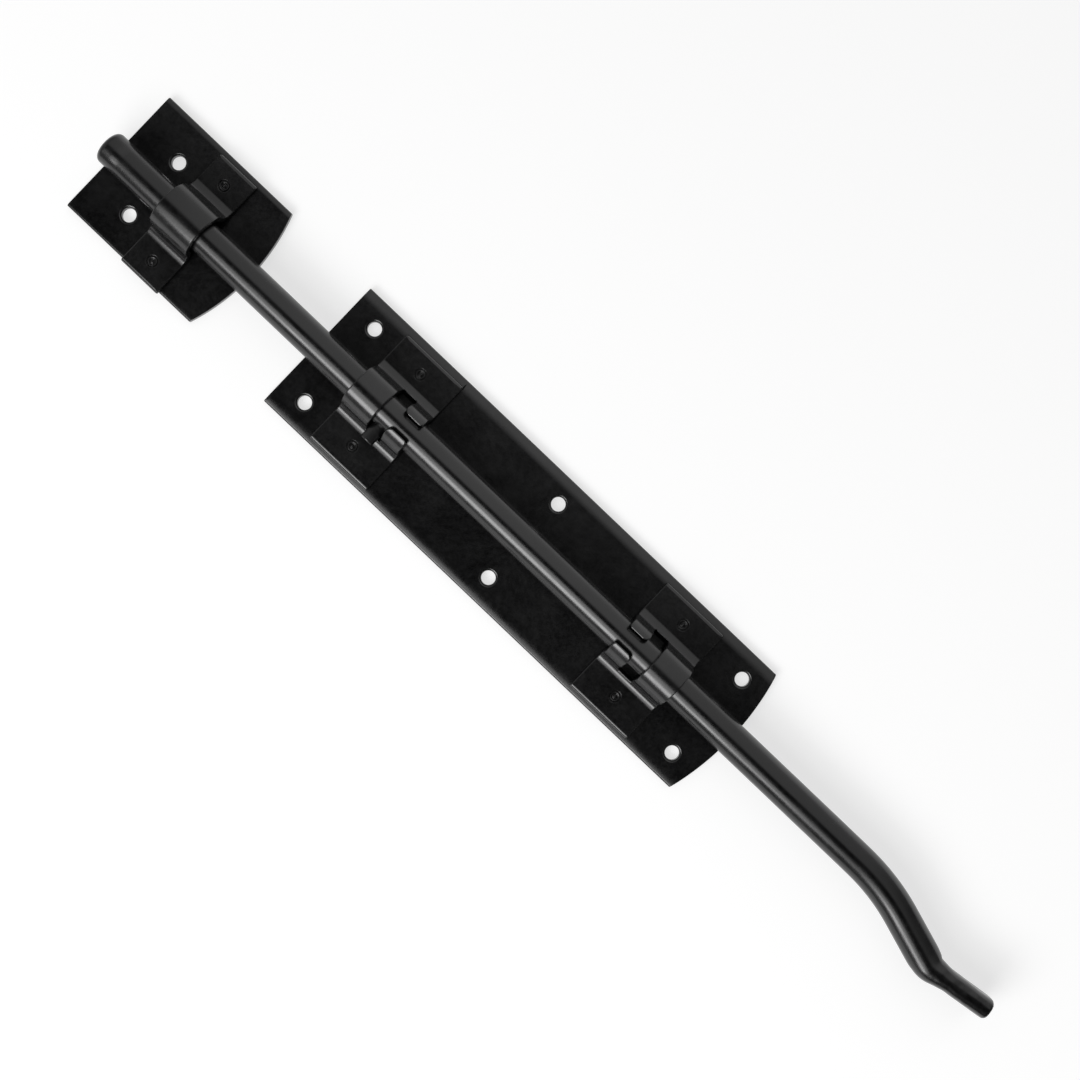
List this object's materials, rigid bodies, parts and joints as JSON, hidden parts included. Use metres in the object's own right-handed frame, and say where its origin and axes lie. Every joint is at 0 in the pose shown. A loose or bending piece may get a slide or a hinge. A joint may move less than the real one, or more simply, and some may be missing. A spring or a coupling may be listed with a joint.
{
  "type": "toggle bolt latch",
  "caption": "Long surface-mounted sliding bolt with a bent tail, a stop pin that turns into slotted straps to lock it, and a separate screw-on keeper.",
  "frame": {"origin": "centre of the base plate's screw holes, on the flat mounting surface, in line with the rod", "axes": "+X along the rod towards its tail, +Y across the plates, away from the side the stop pin and the tail's bend lie on at rest, +Z out of the mounting surface"},
  "size_m": [0.4798, 0.0612, 0.0206],
  "materials": {
    "plate_paint": "satin black powder coat",
    "strap_paint": "satin black powder coat",
    "rivet_paint": "satin black powder coat over peened steel",
    "rod_paint": "semi-gloss black powder coat",
    "pin_paint": "semi-gloss black powder coat"
  },
  "bodies": {
    "base": {"base_plate": "plate_paint", "front_strap": "strap_paint", "rear_strap": "strap_paint", "front_rivet_left": "rivet_paint", "front_rivet_right": "rivet_paint", "rear_rivet_left": "rivet_paint", "rear_rivet_right": "rivet_paint"},
    "keeper": {"keeper_plate": "plate_paint", "keeper_strap": "strap_paint", "keeper_rivet_left": "rivet_paint", "keeper_rivet_right": "rivet_paint"},
    "rod_front": {"rod_front": "rod_paint"},
    "rod_rear": {"rod_rear": "rod_paint", "stop_pin": "pin_paint"}
  },
  "joints": [
    {"name": "bolt_slide", "type": "slide", "parent": "base", "child": "rod_front", "axis": [1, 0, 0], "range_m": [0, 0.1363]},
    {"name": "bolt_turn", "type": "hinge", "parent": "rod_front", "child": "rod_rear", "pos_m": [-0.0818, 0, 0.0102], "axis": [-1, 0, 0], "range_deg": [0, 180]},
    {"name": "keeper_shift", "type": "slide", "parent": "base", "child": "keeper", "axis": [1, 0, 0], "range_m": [-0.085, 0.035]}
  ]
}
